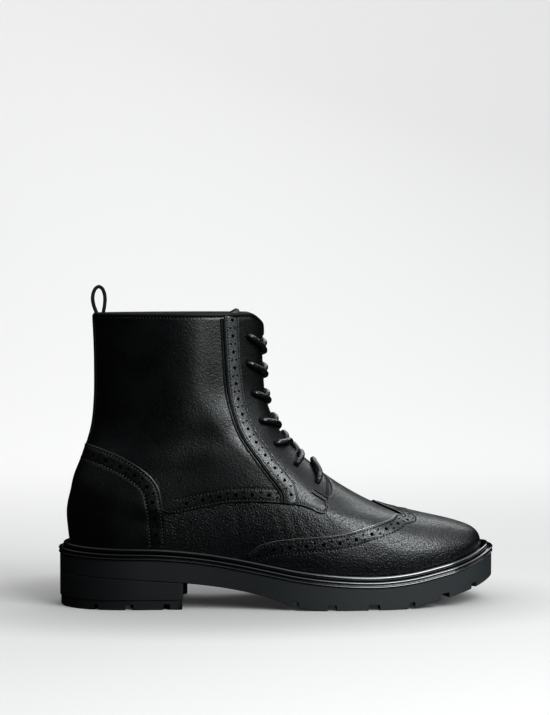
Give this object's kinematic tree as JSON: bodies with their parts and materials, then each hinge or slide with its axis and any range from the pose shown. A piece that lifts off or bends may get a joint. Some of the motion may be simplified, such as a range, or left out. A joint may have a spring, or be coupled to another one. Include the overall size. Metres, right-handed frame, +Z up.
{
  "type": "brogue ankle boot",
  "caption": "Right lace-up wingtip brogue ankle boot with a raised heel counter, perforated overlays, a pull loop and a chunky cleated rubber sole.",
  "frame": {"origin": "middle of the boot's length and width, on the floor that it stands on", "axes": "+X towards the toe, +Z up, +Y towards the inner side of the foot"},
  "size_m": [0.2811, 0.1026, 0.205],
  "materials": {
    "black_leather": "fine-grained black leather, semi-matte",
    "black_rubber": "matte black rubber with a glossy rim",
    "dark_lining": "dark brushed lining",
    "waxed_cord": "round braided waxed lace",
    "black_webbing": "black woven webbing"
  },
  "bodies": {
    "root": {"heel": "black_rubber", "outsole": "black_rubber", "midsole": "black_rubber", "welt": "black_rubber", "insole": "dark_lining", "upper": "black_leather", "tongue": "black_leather", "heel_counter": "black_leather", "toe_cap": "black_leather", "facing_strip_outer": "black_leather", "facing_strip_inner": "black_leather", "back_stay": "black_leather", "pull_loop": "black_webbing", "lace_crossing_1": "waxed_cord", "lace_crossing_2": "waxed_cord", "lace_crossing_3": "waxed_cord", "lace_crossing_4": "waxed_cord", "lace_crossing_5": "waxed_cord", "lace_crossing_6": "waxed_cord", "lace_bar": "waxed_cord"}
  },
  "joints": []
}
